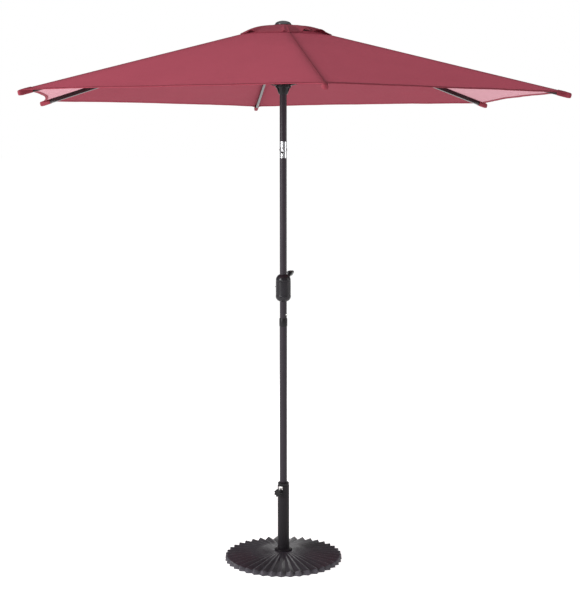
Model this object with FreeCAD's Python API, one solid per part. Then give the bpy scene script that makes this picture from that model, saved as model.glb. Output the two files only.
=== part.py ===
import FreeCAD, Part
import math
import os

from FreeCAD import Placement, Rotation, Vector

# Patio umbrella on a fluted round base, millimetres, +Z up.
# The origin is on the floor under the pole's axis. The first rib points along -Y.
# Directions are degrees from +X, anticlockwise from above.

# Overall sizes
total_height = 2400.0
canopy_radius = 1244.0
base_radius = 265.0

# Ribs and canopy
rib_count = 6
first_rib_direction = -90.0
open_slope = 14.3  # rib below the horizontal, canopy open
rib_width = 12.0
rib_height = 18.0
rib_wall = 0.9
rib_lug_length = 20.0
rib_corner = 2.0
tip_cap_length = 6.0
tip_plug_depth = 15.0
hem_sag = 45.0  # how far each hem curves in from its chord
fabric_thickness = 1.0
fabric_gap = 1.4  # fabric above the rib's flat top, at the ridge
seam_gap = 0.4
vent_opening_radius = 150.0
vent_radius = 204.0
vent_slope = 11.2

# Struts and runner
strut_joint_distance = 427.0  # along the rib, from the hub pivot
strut_joint_offset = 18.0  # below the rib's centre line
strut_width = 10.0
strut_depth = 10.0
strut_wall = 1.0
strut_channel_end = 12.0
strut_pin_radius = 2.0
clip_wall = 1.8
clip_length = 28.0
runner_height_below = 38.0  # from the strut pivots to the sleeve's lower end
runner_height_above = 14.0
runner_head_cover = 6.0  # runner material outside the strut pivots
runner_cone_cover = 0.5
runner_sleeve_wall = 2.4
runner_play = 1.3  # bore over pole, clears the tilt joint's button and pin heads
cord_hole_radius = 2.0

# Crown hub and finial
hub_core_wall = 2.7
rib_root_gap = 0.8
hub_pivot_cover = 10.0  # crown material outside the rib pivots
hub_below_pivot = 20.0
hub_above_pivot = 11.0
hub_chamfer = 4.0
hub_wire_radius = 1.75
hub_socket_depth = 17.0
finial_inset = 1.0  # finial's edge inside the crown's
finial_height = 18.4
finial_rim = 2.4
finial_stud_radius = 4.8
finial_stud_length = 17.0
cap_overhang = 6.0  # fabric disc beyond the crown
pulley_below_hub = 31.0
pulley_radius = 11.0
pulley_width = 5.0
pulley_groove = 1.5
pulley_inset = 7.5  # pulley's pin inside the pole's outer face
pulley_pin_radius = 2.0
pulley_direction = 60.0

# Poles
upper_pole_radius = 15.5
upper_pole_wall = 1.4
pole_step = 1.0  # lower section's radius over the upper sections'
section_joint_level = 1084.0
spigot_wall = 2.0
spigot_below = 74.0
spigot_above = 66.0
collar_cover = 1.5
collar_below = 19.0
collar_above = 18.0
collar_bevel = 1.2
snap_level = 1118.0
snap_direction = 325.0
snap_radius = 4.5
snap_proud = 2.5
snap_flange = 1.8  # wider than the button, and as thick
foot_plug_flange = 3.7
foot_plug_depth = 20.0

# Tilt joint
tilt_below_hub = 524.0
tilt_half_height = 35.5
tilt_tongue = 11.0
tilt_pin_radius = 4.0
tilt_head_radius = 5.5
tilt_head_proud = 0.7
tilt_spigot_depth = 20.0
tilt_button_radius = 5.0
tilt_button_drop = 26.0  # below the tilt pin
tilt_button_length = 11.0
tilt_button_travel = 3.0

# Crank housing
service_direction = 248.0  # way the housing's screwed face looks
crank_level = 1242.0
housing_radius = 33.2
housing_below = 64.0
housing_above = 55.0
housing_lower_shoulder = 36.0
housing_upper_shoulder = 24.0
housing_ledge = 0.8
housing_wall = 3.0
housing_split = 0.1
socket_below = 36.0
socket_above = 30.0
housing_screw_below = 41.0
housing_screw_above = 30.0
screw_head_radius = 3.2
screw_shank_radius = 1.8
screw_recess_radius = 3.7
side_screw_proud = 4.0
crank_turns = 10  # turns that close the canopy
closed_slope = 84.5
lift_cord_radius = 1.5
spool_half_width = 13.0
spool_flange_radius = 20.0
spool_flange_width = 2.0
crank_shaft_radius = 5.0
bearing_radius = 9.0
crank_arm_length = 58.0
crank_arm_lean = 14.0  # from upright, at rest
crank_arm_thickness = 8.0
crank_arm_root_radius = 12.0
crank_arm_tip_radius = 9.0
crank_arm_back = 52.0  # arm's outer face behind the pole's axis
grip_length = 33.0
grip_radius = 7.0
grip_spread = 6.5
grip_pin_radius = 3.0

# Stem and clamp
stem_room = 8.0  # between the lower pole and the stem's bore
stem_wall = 2.0
stem_top = 343.0
stem_plug_height = 12.0
bush_inset = 1.3  # bush's rim inside the stem's outer face
bush_height = 14.7
bush_depth = 16.0
bush_wall_top_bevel = 2.5
foot_ring_width = 14.0
foot_ring_height = 10.0
foot_ring_neck = 3.0
clamp_level = 317.0
clamp_direction = 231.0
clamp_thread_radius = 5.0
clamp_boss_radius = 9.5
clamp_boss_proud = 6.5
clamp_pad_radius = 7.0
clamp_pad_thickness = 2.6
clamp_travel = 3.0
knob_radius = 17.5
knob_lobe_radius = 4.6
knob_lobes = 7
knob_thickness = 13.0
knob_hub_radius = 10.0
knob_hub_height = 4.0
knob_clear = 1.5
label_direction = 234.0
label_width = 19.4
label_height = 15.0
label_thickness = 0.6

# Base
flute_count = 40
skirt_bottom = 2.0
rim_crest_height = 28.0
rim_valley_height = 18.0
rim_flute_depth = 14.0
rim_batter = 3.0
base_hub_height = 45.0
base_hub_margin = 4.5
base_hub_flute_depth = 1.0
base_wall = 8.0
skirt_width = 23.0
base_boss_radius = 28.0
base_boss_bottom = 20.0
base_bolt_radius = 6.0
base_bolt_head_radius = 11.0
base_bolt_head_height = 7.5
base_washer_radius = 16.0
base_washer_thickness = 2.5
base_bolt_reach = 9.0  # into the stem's threaded plug
foot_count = 5
foot_radius = 8.0
foot_recess = 3.0

# Clearances
snug = 0.05  # radial, between pieces fixed together
running = 0.05  # radial, a pin or shaft in its bore
sliding = 0.4  # radial, a tube in its sleeve
apart = 0.3  # between faces of different bodies that rest on each other
slot_side = 0.5  # each side of a rib or strut in its slot

# Levels and sizes that follow
half_step = 180.0 / rib_count
tan_half = math.tan(math.radians(half_step))
cos_half = math.cos(math.radians(half_step))
tan_open = math.tan(math.radians(open_slope))
cos_open = math.cos(math.radians(open_slope))
sin_open = math.sin(math.radians(open_slope))

lower_pole_radius = upper_pole_radius + pole_step
collar_radius = lower_pole_radius + collar_cover
stem_radius = lower_pole_radius + stem_room + stem_wall
bush_radius = stem_radius - bush_inset
foot_ring_radius = stem_radius + foot_ring_width
base_hub_radius = foot_ring_radius + base_hub_margin
hollow_radius = base_radius - rim_flute_depth - skirt_width
foot_circle_radius = hollow_radius + skirt_width / 2

hub_core_radius = upper_pole_radius + hub_core_wall
hub_pivot_radius = hub_core_radius + rib_root_gap + rib_height / 2
hub_radius = hub_pivot_radius + hub_pivot_cover
finial_radius = hub_radius - finial_inset
cap_radius = hub_radius + cap_overhang
pulley_offset = upper_pole_radius - pulley_inset
runner_head_radius = hub_pivot_radius + runner_head_cover
runner_cone_radius = hub_pivot_radius + runner_cone_cover
hub_top = total_height - finial_height - fabric_thickness - 2 * apart
hub_pivot_level = hub_top - hub_above_pivot
hub_bottom = hub_pivot_level - hub_below_pivot
rib_length = (canopy_radius - hub_pivot_radius) / cos_open
rib_end = rib_length - tip_cap_length

strut_length = math.hypot(strut_joint_distance, strut_joint_offset)
joint_lead = math.degrees(math.atan2(strut_joint_offset, strut_joint_distance))
runner_drop = 2 * strut_length * math.sin(math.radians(open_slope + joint_lead))
closed_drop = 2 * strut_length * math.sin(math.radians(closed_slope + joint_lead))
runner_level = hub_pivot_level - runner_drop
runner_travel = closed_drop - runner_drop
runner_bore = upper_pole_radius + runner_play

upper_pole_bore = upper_pole_radius - upper_pole_wall
lower_pole_bore = upper_pole_bore
spigot_radius = upper_pole_bore - snug
spigot_bore = spigot_radius - spigot_wall
pole_top = hub_bottom + hub_socket_depth
tilt_level = hub_pivot_level - tilt_below_hub
tilt_bottom = tilt_level - tilt_half_height
tilt_top = tilt_level + tilt_half_height
housing_bottom = crank_level - housing_below
housing_top = crank_level + housing_above
mid_pole_top = crank_level - socket_below
high_pole_bottom = crank_level + socket_above
spool_barrel_radius = runner_travel / (2 * math.pi * crank_turns) - lift_cord_radius

stem_bore = stem_radius - stem_wall
stem_plug_top = base_hub_height + stem_plug_height
pole_bottom = stem_plug_top + apart
rib_directions = [first_rib_direction + 2 * half_step * number for number in range(rib_count)]

pieces = {}


def keep(name, shape):
    """Keep a finished piece under its node name."""
    pieces[name] = shape.removeSplitter()


def turned(shape, direction):
    """The shape turned about the pole's axis, from +X to the direction."""
    copy = shape.copy()
    copy.rotate(Vector(0, 0, 0), Vector(0, 0, 1), direction)
    return copy


def fused(shapes):
    """The union of a list of shapes."""
    return shapes[0].multiFuse(shapes[1:]) if len(shapes) > 1 else shapes[0]


def block(x0, x1, y0, y1, z0, z1):
    """A box between two corners."""
    return Part.makeBox(x1 - x0, y1 - y0, z1 - z0, Vector(x0, y0, z0))


def upright(radius, bottom, top):
    """A cylinder on the pole's axis."""
    return Part.makeCylinder(radius, top - bottom, Vector(0, 0, bottom))


def tube(outer, inner, bottom, top):
    """A tube on the pole's axis."""
    return upright(outer, bottom, top).cut(upright(inner, bottom - 1, top + 1))


def rod(radius, start, end):
    """A cylinder from one point to another."""
    return Part.makeCylinder(radius, (end - start).Length, start, end - start)


def across(radius, near, far, level, side=0.0):
    """A cylinder along X, between two distances from the pole's axis."""
    return rod(radius, Vector(near, side, level), Vector(far, side, level))


def sideways(radius, near, far, x, level):
    """A cylinder along Y."""
    return rod(radius, Vector(x, near, level), Vector(x, far, level))


def revolved(edges):
    """A solid of revolution about the pole's axis, from closed edges in the XZ plane."""
    face = Part.Face(Part.Wire(edges))
    return face.revolve(Vector(0, 0, 0), Vector(0, 0, 1), 360)


def outline(points):
    """Straight edges round a closed outline of (radius, level) points."""
    ring = [Vector(r, 0, z) for r, z in points]
    return [Part.makeLine(a, b) for a, b in zip(ring, ring[1:] + ring[:1])]


def arc_through(a, b, c):
    """An arc edge through three (radius, level) points."""
    return Part.Arc(*[Vector(r, 0, z) for r, z in (a, b, c)]).toShape()


def line_between(a, b):
    """A straight edge between two (radius, level) points."""
    return Part.makeLine(Vector(a[0], 0, a[1]), Vector(b[0], 0, b[1]))


# ---- base ----

def fluted_ring(crest_radius, valley_radius, crest_level, valley_level):
    """A closed zigzag wire of crests and valleys."""
    points = []
    for number in range(2 * flute_count):
        is_crest = number % 2 == 0
        radius = crest_radius if is_crest else valley_radius
        level = crest_level if is_crest else valley_level
        angle = math.pi * number / flute_count
        points.append(Vector(radius * math.cos(angle), radius * math.sin(angle), level))
    return Part.makePolygon(points + points[:1])


def base_plate():
    """The cast plate: a zigzag skirt, pleats that rise to the hub, hollow underneath."""
    foot = fluted_ring(base_radius, base_radius - rim_flute_depth, skirt_bottom, skirt_bottom)
    rim_radius = base_radius - rim_batter
    rim = fluted_ring(rim_radius, rim_radius - rim_flute_depth, rim_crest_height, rim_valley_height)
    inner = base_hub_radius - base_hub_flute_depth
    hub = fluted_ring(base_hub_radius, inner, base_hub_height, base_hub_height)
    plate = Part.makeLoft([foot, rim, hub], True, True)
    hollow = revolved(outline([
        (0, -1),
        (hollow_radius, -1),
        (hollow_radius, rim_valley_height - base_wall + 2),
        (base_hub_radius, base_hub_height - base_wall),
        (base_boss_radius, base_hub_height - base_wall),
        (base_boss_radius, base_boss_bottom),
        (0, base_boss_bottom),
    ]))
    bolt_hole = upright(base_bolt_radius + sliding, 0, base_hub_height + 1)
    plate = plate.cut(hollow).cut(bolt_hole)
    for foot_shape in foot_pads(snug, foot_recess + snug):
        plate = plate.cut(foot_shape)
    return plate


def foot_pads(extra, depth):
    """The rubber pads, or their recesses with a little extra radius."""
    pad = upright(foot_radius + extra, 0, skirt_bottom + depth)
    pad.translate(Vector(foot_circle_radius, 0, 0))
    return [turned(pad, first_rib_direction + 360.0 * n / foot_count) for n in range(foot_count)]


def base_bolt():
    """Hexagon bolt and washer that hold the stem down."""
    washer_bottom = base_boss_bottom - base_washer_thickness
    head_bottom = washer_bottom - base_bolt_head_height
    corners = [
        Vector(base_bolt_head_radius * math.cos(math.radians(60 * n)),
               base_bolt_head_radius * math.sin(math.radians(60 * n)), head_bottom)
        for n in range(6)
    ]
    head = Part.Face(Part.makePolygon(corners + corners[:1]))
    head = head.extrude(Vector(0, 0, base_bolt_head_height))
    shank = upright(base_bolt_radius, washer_bottom - 1, base_hub_height + base_bolt_reach)
    washer = tube(base_washer_radius, base_bolt_radius + snug, washer_bottom, base_boss_bottom)
    return Part.makeCompound([head.fuse(shank), washer])


def stem_tube():
    """Welded stem: tube, threaded bottom plug and the clamp's threaded boss."""
    body = tube(stem_radius, stem_bore, base_hub_height, stem_top)
    plug = upright(stem_bore + 0.5, base_hub_height, stem_plug_top)
    boss_end = stem_radius + clamp_boss_proud
    boss = turned(across(clamp_boss_radius, stem_bore + 1, boss_end, clamp_level), clamp_direction)
    bolt_hole = upright(base_bolt_radius + snug, base_hub_height - 1, base_hub_height + base_bolt_reach + 1)
    screw_radius = clamp_thread_radius + running
    screw_hole = turned(across(screw_radius, 0, boss_end + 1, clamp_level), clamp_direction)
    screw_hole = screw_hole.cut(upright(upper_pole_radius, 0, stem_top))
    return fused([body, plug, boss]).cut(bolt_hole).cut(screw_hole)


def stem_foot_ring():
    """The stepped ring that covers the weld at the stem's foot."""
    low = base_hub_height
    high = low + foot_ring_height
    inner = stem_radius + snug
    return revolved(outline([
        (inner, low + apart),
        (foot_ring_radius, low + apart),
        (foot_ring_radius, low + 0.45 * foot_ring_height),
        (foot_ring_radius - foot_ring_neck, low + 0.6 * foot_ring_height),
        (inner + foot_ring_neck, high),
        (inner, high),
    ]))


def stem_bush():
    """The plastic reducer that centres the pole and turns in the stem's mouth."""
    low = stem_top + apart
    bore = lower_pole_radius + sliding
    return revolved(outline([
        (bore, low - bush_depth),
        (stem_bore - apart, low - bush_depth),
        (stem_bore - apart, low),
        (bush_radius, low),
        (bush_radius, low + bush_height - bush_wall_top_bevel),
        (bush_radius - bush_wall_top_bevel, low + bush_height),
        (bore, low + bush_height),
    ]))


def label_plate():
    """A blank curved plate on the stem, above the clamp knob."""
    top = stem_top - 1.0
    bottom = top - label_height
    half_angle = math.degrees(label_width / 2 / stem_radius)
    ring = tube(stem_radius + snug + label_thickness, stem_radius + snug, bottom, top)
    far = 2 * stem_radius
    reach = far * math.tan(math.radians(half_angle))
    corners = [Vector(0, 0, bottom - 1), Vector(far, -reach, bottom - 1), Vector(far, reach, bottom - 1)]
    wedge = Part.Face(Part.makePolygon(corners + corners[:1]))
    wedge = wedge.extrude(Vector(0, 0, label_height + 2))
    return turned(ring.common(wedge), label_direction)


def clamp_pieces():
    """The pressure pad, the threaded screw and the lobed knob."""
    pad_near = lower_pole_radius + apart
    pad_far = pad_near + clamp_pad_thickness
    pad = across(clamp_pad_radius, pad_near, pad_far, clamp_level)
    knob_near = stem_radius + clamp_boss_proud + knob_clear
    knob_far = knob_near + knob_hub_height + knob_thickness
    screw_end = knob_far - 3
    screw = across(clamp_thread_radius, pad_far + apart, screw_end, clamp_level)
    hub = across(knob_hub_radius, knob_near, knob_near + knob_hub_height + 1, clamp_level)
    disc = across(knob_radius - knob_lobe_radius, knob_near + knob_hub_height, knob_far, clamp_level)
    lobes = []
    for number in range(knob_lobes):
        angle = 2 * math.pi * number / knob_lobes
        side = (knob_radius - knob_lobe_radius) * math.cos(angle)
        level = clamp_level + (knob_radius - knob_lobe_radius) * math.sin(angle)
        lobes.append(across(knob_lobe_radius, knob_near + knob_hub_height, knob_far, level, side))
    bore = across(clamp_thread_radius + snug, knob_near - 1, screw_end + snug, clamp_level)
    knob = fused([hub, disc] + lobes).cut(bore)
    keep("clamp_pad", turned(pad, clamp_direction))
    keep("clamp_screw", turned(screw, clamp_direction))
    keep("clamp_knob", turned(knob, clamp_direction))


# ---- poles ----

def snap_bore(radius):
    """The hole for the snap button."""
    bore = across(radius, 2, 2 * collar_radius, snap_level)
    return turned(bore, snap_direction)


def pole_pieces():
    """The two lower pole sections, their spigot, collar and foot plug."""
    hole = snap_radius + apart
    lower = tube(lower_pole_radius, lower_pole_bore, pole_bottom + foot_plug_flange, section_joint_level)
    keep("lower_pole", lower)
    plug_top = pole_bottom + foot_plug_flange
    flange = upright(lower_pole_radius, pole_bottom, plug_top)
    stalk = upright(lower_pole_bore - snug, pole_bottom, plug_top + foot_plug_depth)
    keep("pole_foot_plug", flange.fuse(stalk))
    low = section_joint_level - spigot_below
    high = section_joint_level + spigot_above
    spigot = tube(spigot_radius, spigot_bore, low, high)
    keep("pole_spigot", spigot.cut(snap_bore(hole)))
    keep("pole_collar", revolved(outline([
        (lower_pole_radius + snug, section_joint_level - collar_below),
        (collar_radius - collar_bevel, section_joint_level - collar_below),
        (collar_radius, section_joint_level - collar_below + 3 * collar_bevel),
        (collar_radius, section_joint_level + collar_above - 3 * collar_bevel),
        (collar_radius - collar_bevel, section_joint_level + collar_above),
        (upper_pole_radius + snug, section_joint_level + collar_above),
        (upper_pole_radius + snug, section_joint_level),
        (lower_pole_radius + snug, section_joint_level),
    ])))
    mid = tube(upper_pole_radius, upper_pole_bore, section_joint_level, mid_pole_top)
    mid = mid.cut(snap_bore(hole)).cut(housing_screw_shanks(snug))
    keep("mid_pole", mid)
    high_pole = tube(upper_pole_radius, upper_pole_bore, high_pole_bottom, tilt_bottom)
    keep("high_pole", high_pole.cut(housing_screw_shanks(snug)))


def snap_button():
    """The sprung button that locks the two pole sections."""
    outer = upper_pole_radius + snap_proud
    flange_radius = snap_radius + snap_flange
    seat = math.sqrt((spigot_bore - snug) ** 2 - flange_radius ** 2)
    button = across(snap_radius, seat - snap_flange, outer, snap_level)
    flange = across(flange_radius, seat - snap_flange, seat, snap_level)
    edge = across(snap_radius - 1.2, outer - 1, outer + 0.5, snap_level)
    return turned(button.fuse(flange).fuse(edge), snap_direction)


# ---- crank housing ----

def housing_screw_shanks(extra):
    """The two front screws' shanks, with extra radius for a hole."""
    levels = (crank_level - housing_screw_below, crank_level + housing_screw_above)
    radius = screw_shank_radius + extra
    near = upper_pole_bore - 1
    shanks = [across(radius, near, housing_radius - 8, level) for level in levels]
    return turned(fused(shanks), service_direction)


def housing_screws():
    """Two recessed front screws and a small side screw."""
    shanks = housing_screw_shanks(0)
    levels = (crank_level - housing_screw_below, crank_level + housing_screw_above)
    heads = [across(screw_head_radius, housing_radius - 9, housing_radius - 6.5, level) for level in levels]
    heads = turned(fused(heads), service_direction)
    side = across(screw_shank_radius, housing_radius - 2, housing_radius + side_screw_proud, crank_level)
    side = turned(side, service_direction - 90)
    return Part.makeCompound([shell for shell in heads.fuse(shanks).Solids] + [side])


def housing_body():
    """The pod's outer form: a straight barrel with rounded shoulders and a ledge."""
    neck = upper_pole_radius + housing_wall
    low_shoulder = crank_level - housing_lower_shoulder
    high_shoulder = crank_level + housing_upper_shoulder
    upper_radius = housing_radius - housing_ledge
    low_mid = (neck + 0.72 * (housing_radius - neck), housing_bottom + 0.30 * (low_shoulder - housing_bottom))
    high_mid = (neck + 0.74 * (upper_radius - neck), housing_top - 0.32 * (housing_top - high_shoulder))
    return revolved([
        line_between((0, housing_bottom), (neck - 1, housing_bottom)),
        arc_through((neck - 1, housing_bottom), low_mid, (housing_radius, low_shoulder)),
        line_between((housing_radius, low_shoulder), (housing_radius, high_shoulder)),
        line_between((housing_radius, high_shoulder), (upper_radius, high_shoulder + 1)),
        arc_through((upper_radius, high_shoulder + 1), high_mid, (neck + 1, housing_top)),
        line_between((neck + 1, housing_top), (0, housing_top)),
        line_between((0, housing_top), (0, housing_bottom)),
    ])


def housing_pieces():
    """The two shells that clamp both pole ends and hold the crank's bearings."""
    body = housing_body()
    cavity_radius = housing_radius - housing_wall
    low = crank_level - housing_lower_shoulder + housing_wall
    high = crank_level + housing_upper_shoulder - housing_wall
    cavity = upright(cavity_radius, low, high)
    low_socket = upright(upper_pole_radius + snug, housing_bottom - 1, mid_pole_top + snug)
    high_socket = upright(upper_pole_radius + snug, high_pole_bottom - snug, housing_top + 1)
    cord_way = upright(upper_pole_bore, mid_pole_top - 1, high_pole_bottom + 1)
    shaft_bore = across(crank_shaft_radius + running, -2 * housing_radius, cavity_radius - 3, crank_level)
    rear_boss = across(bearing_radius, -housing_radius - 4, -spool_half_width - 2, crank_level)
    front_boss = across(bearing_radius, spool_half_width + 2, cavity_radius + 1, crank_level)
    recesses = [
        across(screw_recess_radius, housing_radius - 9 - snug, housing_radius + 1, level)
        for level in (crank_level - housing_screw_below, crank_level + housing_screw_above)
    ]
    side_hole = across(screw_shank_radius + snug, housing_radius - 2.1, housing_radius + 1, crank_level)
    hollowed = body.cut(fused([cavity, low_socket, high_socket, cord_way]))
    hollowed = hollowed.fuse(rear_boss).fuse(front_boss).cut(shaft_bore)
    hollowed = hollowed.cut(fused(recesses)).cut(turned(side_hole, -90))
    hollowed = turned(hollowed, service_direction).cut(housing_screw_shanks(snug))
    far = 3 * housing_radius
    front_half = block(housing_split, far, -far, far, housing_bottom - 1, housing_top + 1)
    rear_half = block(-far, -housing_split, -far, far, housing_bottom - 1, housing_top + 1)
    keep("housing_front", hollowed.common(turned(front_half, service_direction)))
    keep("housing_rear", hollowed.common(turned(rear_half, service_direction)))


def crank_pieces():
    """The spool, its shaft, the crank arm and the spinning grip."""
    half = spool_half_width
    barrel = across(spool_barrel_radius, -half, half, crank_level)
    near_flange = across(spool_flange_radius, half - spool_flange_width, half, crank_level)
    far_flange = across(spool_flange_radius, -half, -half + spool_flange_width, crank_level)
    bore = across(crank_shaft_radius + snug, -half - 1, half + 1, crank_level)
    spool = barrel.fuse(near_flange).fuse(far_flange).cut(bore)
    keep("crank_spool", turned(spool, service_direction))
    shaft_front = housing_radius - housing_wall - 3 - apart
    shaft = across(crank_shaft_radius, -crank_arm_back + 1, shaft_front, crank_level)
    keep("crank_shaft", turned(shaft, service_direction))
    lean = math.radians(crank_arm_lean)
    tip_side = crank_arm_length * math.sin(lean)
    tip_level = crank_level + crank_arm_length * math.cos(lean)
    back = -crank_arm_back
    front = back + crank_arm_thickness
    root = across(crank_arm_root_radius, back, front, crank_level)
    tip = across(crank_arm_tip_radius, back, front, tip_level, tip_side)
    web = arm_web(back, front)
    pin_end = back - grip_length + 2
    pin = across(grip_pin_radius, pin_end, back + 2, tip_level, tip_side)
    shaft_bore = across(crank_shaft_radius + snug, back + 1 - snug, front + 1, crank_level)
    arm = fused([root, tip, web, pin]).cut(shaft_bore)
    keep("crank_arm", turned(arm, service_direction))
    grip_back = back - apart - grip_length
    corners = []
    for number in range(3):
        angle = math.radians(30 + 120 * number)
        side = tip_side + grip_spread * math.cos(angle)
        level = tip_level + grip_spread * math.sin(angle)
        corners.append(across(grip_radius, grip_back, back - apart, level, side))
    fill = grip_fill(tip_side, tip_level, grip_back, back - apart)
    grip_bore = across(grip_pin_radius + running, pin_end - apart, back, tip_level, tip_side)
    grip = fused(corners + [fill]).cut(grip_bore)
    keep("crank_grip", turned(grip, service_direction))


def arm_web(back, front):
    """The tapered web between the crank arm's two bosses."""
    lean = math.radians(crank_arm_lean)
    along = Vector(0, math.sin(lean), math.cos(lean))
    side = Vector(0, math.cos(lean), -math.sin(lean))
    root = Vector(back, 0, crank_level)
    tip = root + along * crank_arm_length
    root_half = 0.8 * crank_arm_root_radius
    tip_half = 0.8 * crank_arm_tip_radius
    corners = [root + side * root_half, tip + side * tip_half, tip - side * tip_half, root - side * root_half]
    face = Part.Face(Part.makePolygon(corners + corners[:1]))
    return face.extrude(Vector(front - back, 0, 0))


def grip_fill(side, level, near, far):
    """The straight-sided middle of the three-cornered grip."""
    reach = grip_radius
    corners = []
    for number in range(3):
        corner = math.radians(30 + 120 * number)
        for turn in (-60, 60):
            edge = corner + math.radians(turn)
            y = side + grip_spread * math.cos(corner) + reach * math.cos(edge)
            z = level + grip_spread * math.sin(corner) + reach * math.sin(edge)
            corners.append(Vector(near, y, z))
    face = Part.Face(Part.makePolygon(corners + corners[:1]))
    return face.extrude(Vector(far - near, 0, 0))


# ---- tilt joint ----

def tilt_pieces():
    """Lower clevis, upper tongue, pin and button. The canopy tilts away from the housing's front."""
    radius = upper_pole_radius
    half_tongue = tilt_tongue / 2
    slot = half_tongue + slot_side - 0.1
    far = 2 * radius
    seam = 0.7
    ears = upright(radius, tilt_bottom, tilt_level + radius)
    crown = sideways(radius, -far, far, 0, tilt_level)
    below = upright(radius, tilt_bottom, tilt_level)
    body = ears.common(crown).fuse(below)
    body = body.cut(block(-far, far, -slot, slot, tilt_level - radius - 1, tilt_level + far))
    spigot = upright(upper_pole_bore - snug, tilt_bottom - tilt_spigot_depth, tilt_bottom)
    cord_way = upright(3, tilt_bottom - tilt_spigot_depth - 1, tilt_level)
    button_level = tilt_level - tilt_button_drop
    button_outer = radius + tilt_head_proud
    button_inner = button_outer - tilt_button_length
    button_bore = across(tilt_button_radius + running, -far, -button_inner + tilt_button_travel + apart, button_level)
    pin_bore = sideways(tilt_pin_radius + snug / 2, -far, far, 0, tilt_level)
    lower = body.fuse(spigot).cut(cord_way).cut(button_bore).cut(pin_bore)
    keep("tilt_lower_knuckle", turned(lower, service_direction))
    shoulders = upright(radius, tilt_level, tilt_top)
    shoulders = shoulders.cut(sideways(radius + seam, -far, far, 0, tilt_level))
    tongue = upright(radius, tilt_level, tilt_top).fuse(sideways(radius - 0.5, -far, far, 0, tilt_level))
    tongue = tongue.common(block(-far, far, -half_tongue, half_tongue, tilt_level - radius, tilt_top))
    top_spigot = upright(upper_pole_bore - snug, tilt_top, tilt_top + tilt_spigot_depth)
    cord_top = upright(3, tilt_level, tilt_top + tilt_spigot_depth + 1)
    tongue_bore = sideways(tilt_pin_radius + running, -far, far, 0, tilt_level)
    upper = fused([shoulders, tongue, top_spigot]).cut(cord_top).cut(tongue_bore)
    keep("tilt_upper_knuckle", turned(upper, service_direction))
    pin = sideways(tilt_pin_radius, -radius - 0.1, radius + 0.1, 0, tilt_level)
    for way in (-1, 1):
        near = way * (radius + 0.05)
        outer = way * (radius + tilt_head_proud)
        pin = pin.fuse(sideways(tilt_head_radius, near, outer, 0, tilt_level))
    keep("tilt_pin", turned(pin, service_direction))
    button = across(tilt_button_radius, -button_outer, -button_inner, button_level)
    keep("tilt_button", turned(button, service_direction))


# ---- top section ----

def top_pole():
    """The top pole section, slotted for the pulley."""
    body = tube(upper_pole_radius, upper_pole_bore, tilt_top, pole_top)
    level = hub_bottom - pulley_below_hub
    half = pulley_width / 2 + slot_side
    slot = block(pulley_offset, 2 * upper_pole_radius, -half, half, level - pulley_radius - 2, level + pulley_radius + 2)
    pin_bore = sideways(pulley_pin_radius + snug, -20, 20, pulley_offset, level)
    return body.cut(turned(slot, pulley_direction)).cut(turned(pin_bore, pulley_direction))


def pulley_pieces():
    """The grooved cord pulley and its pin."""
    level = hub_bottom - pulley_below_hub
    half = pulley_width / 2
    wheel = sideways(pulley_radius, -half, half, pulley_offset, level)
    ring = Part.makeTorus(pulley_radius + 0.3, pulley_groove, Vector(pulley_offset, 0, level), Vector(0, 1, 0))
    bore = sideways(pulley_pin_radius + running, -half - 1, half + 1, pulley_offset, level)
    keep("pulley", turned(wheel.cut(ring).cut(bore), pulley_direction))
    reach = math.sqrt(upper_pole_radius ** 2 - pulley_offset ** 2) - 0.2
    pin = sideways(pulley_pin_radius, -reach, reach, pulley_offset, level)
    keep("pulley_pin", turned(pin, pulley_direction))


def hub_wire(radius):
    """The bent wire ring that every rib hangs on: one straight run in each slot."""
    corner_radius = hub_pivot_radius / cos_half
    corners = []
    for direction in rib_directions:
        angle = math.radians(direction + half_step)
        x = corner_radius * math.cos(angle)
        y = corner_radius * math.sin(angle)
        corners.append(Vector(x, y, hub_pivot_level))
    runs = [rod(radius, a, b) for a, b in zip(corners, corners[1:] + corners[:1])]
    bends = [Part.makeSphere(radius, corner) for corner in corners]
    return fused(runs + bends)


def crown_hub():
    """The slotted crown that the ribs pivot in."""
    body = revolved(outline([
        (0, hub_bottom),
        (hub_radius - hub_chamfer, hub_bottom),
        (hub_radius, hub_bottom + hub_chamfer),
        (hub_radius, hub_top - hub_chamfer),
        (hub_radius - hub_chamfer, hub_top),
        (0, hub_top),
    ]))
    half = rib_width / 2 + slot_side
    slot = block(hub_core_radius, hub_radius + 1, -half, half, hub_bottom - 1, hub_top + 1)
    for direction in rib_directions:
        body = body.cut(turned(slot, direction))
    socket = upright(upper_pole_radius + snug, hub_bottom - 1, pole_top + snug)
    stud_hole = upright(finial_stud_radius + snug, pole_top, hub_top + 1)
    return body.cut(socket).cut(stud_hole).cut(hub_wire(hub_wire_radius + snug))


def finial():
    """The low dome that screws down on the canopy's centre."""
    low = total_height - finial_height
    edge = (finial_radius, low + finial_rim)
    crown = (0, total_height)
    rise = finial_height - finial_rim
    dome_radius = (finial_radius ** 2 + rise ** 2) / (2 * rise)
    half_angle = math.asin(finial_radius / dome_radius) / 2
    dome_centre = total_height - dome_radius
    shoulder = (dome_radius * math.sin(half_angle), dome_centre + dome_radius * math.cos(half_angle))
    dome = revolved([
        line_between((0, low), (finial_radius, low)),
        line_between((finial_radius, low), edge),
        arc_through(edge, shoulder, crown),
        line_between(crown, (0, low)),
    ])
    return dome.fuse(upright(finial_stud_radius, low - finial_stud_length, low + 1))


def canopy_cap():
    """The reinforced fabric disc under the finial."""
    low = hub_top + apart
    return tube(cap_radius, finial_stud_radius + sliding, low, low + fabric_thickness)


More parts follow.
